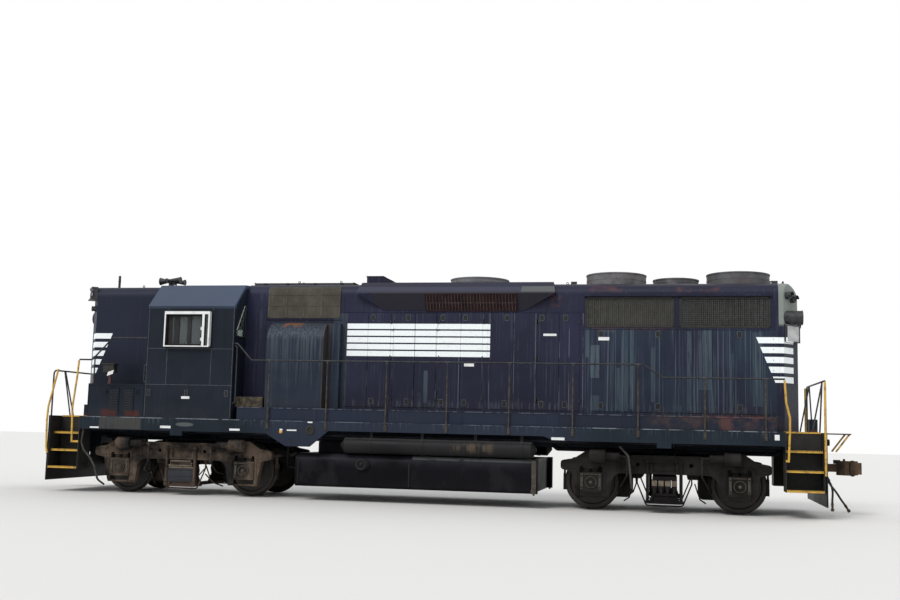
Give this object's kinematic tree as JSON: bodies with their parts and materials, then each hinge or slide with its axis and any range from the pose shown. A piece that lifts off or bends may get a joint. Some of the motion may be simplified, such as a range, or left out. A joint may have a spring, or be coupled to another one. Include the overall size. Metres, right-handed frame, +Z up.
{
  "type": "diesel locomotive",
  "caption": "Diesel-electric road-switcher locomotive with high short hood, full-width cab and long hood, on turning trucks, with couplers, steps and handrails.",
  "frame": {"origin": "midway between the couplers and between the sides, at the bottom of the wheel flanges", "axes": "+X to the front (the long-hood end), +Y to the left, +Z up; the rail top is at z = 0.028 m"},
  "size_m": [17.12, 3.24, 4.7148],
  "materials": {
    "frame_black": "weathered satin paint",
    "hood_black": "weathered satin paint with white stripes",
    "cab_black": "weathered satin paint",
    "roof_grey": "faded satin paint",
    "tank_black": "satin black with dust",
    "grille_brown": "dusty",
    "fan_grey": "weathered",
    "white_paint": "gloss",
    "yellow_paint": "worn",
    "truck_iron": "dusty brown grime",
    "wheel_steel": "rusty web, polished tread",
    "coupler_iron": "rusty",
    "window_glass": "clear",
    "lamp_glass": "clear",
    "hose_rubber": "matt",
    "seat_grey": "matt",
    "engine_grey": "oily"
  },
  "bodies": {
    "locomotive": {"underframe": "frame_black", "end_plates": "frame_black", "stepwells": "frame_black", "fuel_tank": "tank_black", "air_reservoirs": "tank_black", "air_duct": "frame_black", "short_hood": "hood_black", "battery_boxes": "frame_black", "cab_sides": "cab_black", "cab_ends": "cab_black", "cab_roof": "roof_grey", "cab_floor": "frame_black", "cab_window_frames": "white_paint", "cab_glass": "window_glass", "cab_fittings": "seat_grey", "long_hood": "hood_black", "blower_housing": "hood_black", "brake_blisters": "hood_black", "side_grilles": "grille_brown", "fan_shrouds": "fan_grey", "exhaust_stack": "fan_grey", "roof_fittings": "hood_black", "handrails": "frame_black", "corner_grabs": "yellow_paint", "end_rails": "frame_black", "end_lamps": "hood_black", "lamp_lenses": "lamp_glass", "engine": "engine_grey", "brake_hose_1": "hose_rubber", "brake_hose_2": "hose_rubber", "hose_couplings": "coupler_iron"},
    "coupler_front": {"coupler_front": "coupler_iron"},
    "coupler_rear": {"coupler_rear": "coupler_iron"},
    "knuckle_front": {"knuckle_front": "coupler_iron"},
    "knuckle_rear": {"knuckle_rear": "coupler_iron"},
    "drop_step_front": {"drop_step_front": "frame_black"},
    "drop_step_rear": {"drop_step_rear": "frame_black"},
    "radiator_fan_1": {"radiator_fan_1": "fan_grey"},
    "radiator_fan_2": {"radiator_fan_2": "fan_grey"},
    "radiator_fan_3": {"radiator_fan_3": "fan_grey"},
    "brake_fan": {"brake_fan": "fan_grey"},
    "cab_door_front": {"cab_door_front": "cab_black"},
    "cab_door_rear": {"cab_door_rear": "cab_black"},
    "hood_door_1": {"hood_door_1": "hood_black"},
    "hood_door_2": {"hood_door_2": "hood_black"},
    "hood_door_3": {"hood_door_3": "hood_black"},
    "hood_door_4": {"hood_door_4": "hood_black"},
    "truck_front": {"truck_frame_front": "truck_iron", "truck_bolster_front": "truck_iron", "journal_boxes_front": "truck_iron", "traction_motors_front": "truck_iron"},
    "truck_rear": {"truck_frame_rear": "truck_iron", "truck_bolster_rear": "truck_iron", "journal_boxes_rear": "truck_iron", "traction_motors_rear": "truck_iron"},
    "wheelset_1": {"wheelset_1": "wheel_steel"},
    "wheelset_2": {"wheelset_2": "wheel_steel"},
    "wheelset_3": {"wheelset_3": "wheel_steel"},
    "wheelset_4": {"wheelset_4": "wheel_steel"}
  },
  "joints": [
    {"name": "truck_swivel_front", "type": "hinge", "parent": "locomotive", "child": "truck_front", "pos_m": [4.877, 0, 1], "axis": [0, 0, 1], "range_deg": [-6, 6]},
    {"name": "truck_swivel_rear", "type": "hinge", "parent": "locomotive", "child": "truck_rear", "pos_m": [-4.877, 0, 1], "axis": [0, 0, 1], "range_deg": [-6, 6]},
    {"name": "wheelset_1_roll", "type": "hinge", "parent": "truck_front", "child": "wheelset_1", "pos_m": [6.2485, 0, 0.536], "axis": [0, 1, 0], "continuous": true},
    {"name": "wheelset_2_roll", "type": "hinge", "parent": "truck_front", "child": "wheelset_2", "pos_m": [3.5055, 0, 0.536], "axis": [0, 1, 0], "continuous": true},
    {"name": "wheelset_3_roll", "type": "hinge", "parent": "truck_rear", "child": "wheelset_3", "pos_m": [-3.5055, 0, 0.536], "axis": [0, 1, 0], "continuous": true},
    {"name": "wheelset_4_roll", "type": "hinge", "parent": "truck_rear", "child": "wheelset_4", "pos_m": [-6.2485, 0, 0.536], "axis": [0, 1, 0], "continuous": true},
    {"name": "coupler_swing_front", "type": "hinge", "parent": "locomotive", "child": "coupler_front", "pos_m": [7.48, 0, 0.904], "axis": [0, 0, 1], "range_deg": [-7, 7]},
    {"name": "knuckle_front_open", "type": "hinge", "parent": "coupler_front", "child": "knuckle_front", "pos_m": [8.392, -0.122, 0.904], "axis": [0, 0, -1], "range_deg": [0, 50]},
    {"name": "drop_step_front_fold", "type": "hinge", "parent": "locomotive", "child": "drop_step_front", "pos_m": [7.8, 0, 1.551], "axis": [0, -1, 0], "range_deg": [0, 90]},
    {"name": "coupler_swing_rear", "type": "hinge", "parent": "locomotive", "child": "coupler_rear", "pos_m": [-7.48, 0, 0.904], "axis": [0, 0, 1], "range_deg": [-7, 7]},
    {"name": "knuckle_rear_open", "type": "hinge", "parent": "coupler_rear", "child": "knuckle_rear", "pos_m": [-8.392, 0.122, 0.904], "axis": [0, 0, -1], "range_deg": [0, 50]},
    {"name": "drop_step_rear_fold", "type": "hinge", "parent": "locomotive", "child": "drop_step_rear", "pos_m": [-7.8, 0, 1.551], "axis": [0, 1, 0], "range_deg": [0, 90]},
    {"name": "radiator_fan_1_spin", "type": "hinge", "parent": "locomotive", "child": "radiator_fan_1", "pos_m": [3.9, 0, 4.43], "axis": [0, 0, 1], "continuous": true},
    {"name": "radiator_fan_2_spin", "type": "hinge", "parent": "locomotive", "child": "radiator_fan_2", "pos_m": [5.09, 0, 4.43], "axis": [0, 0, 1], "continuous": true},
    {"name": "radiator_fan_3_spin", "type": "hinge", "parent": "locomotive", "child": "radiator_fan_3", "pos_m": [6.305, 0, 4.43], "axis": [0, 0, 1], "continuous": true},
    {"name": "brake_fan_spin", "type": "hinge", "parent": "locomotive", "child": "brake_fan", "pos_m": [1.073, 0, 4.43], "axis": [0, 0, 1], "continuous": true},
    {"name": "cab_door_rear_open", "type": "hinge", "parent": "locomotive", "child": "cab_door_rear", "pos_m": [-5.638, -1.44, 2.7], "axis": [0, 0, 1], "range_deg": [0, 90]},
    {"name": "cab_door_front_open", "type": "hinge", "parent": "locomotive", "child": "cab_door_front", "pos_m": [-3.692, 1.44, 2.7], "axis": [0, 0, 1], "range_deg": [0, 90]},
    {"name": "hood_door_1_open", "type": "hinge", "parent": "locomotive", "child": "hood_door_1", "pos_m": [-0.53, -0.933, 2.8], "axis": [0, 0, -1], "range_deg": [0, 160]},
    {"name": "hood_door_2_open", "type": "hinge", "parent": "locomotive", "child": "hood_door_2", "pos_m": [0.38, -0.933, 2.8], "axis": [0, 0, 1], "range_deg": [0, 160]},
    {"name": "hood_door_3_open", "type": "hinge", "parent": "locomotive", "child": "hood_door_3", "pos_m": [-0.53, 0.933, 2.8], "axis": [0, 0, 1], "range_deg": [0, 160]},
    {"name": "hood_door_4_open", "type": "hinge", "parent": "locomotive", "child": "hood_door_4", "pos_m": [0.38, 0.933, 2.8], "axis": [0, 0, -1], "range_deg": [0, 160]}
  ]
}
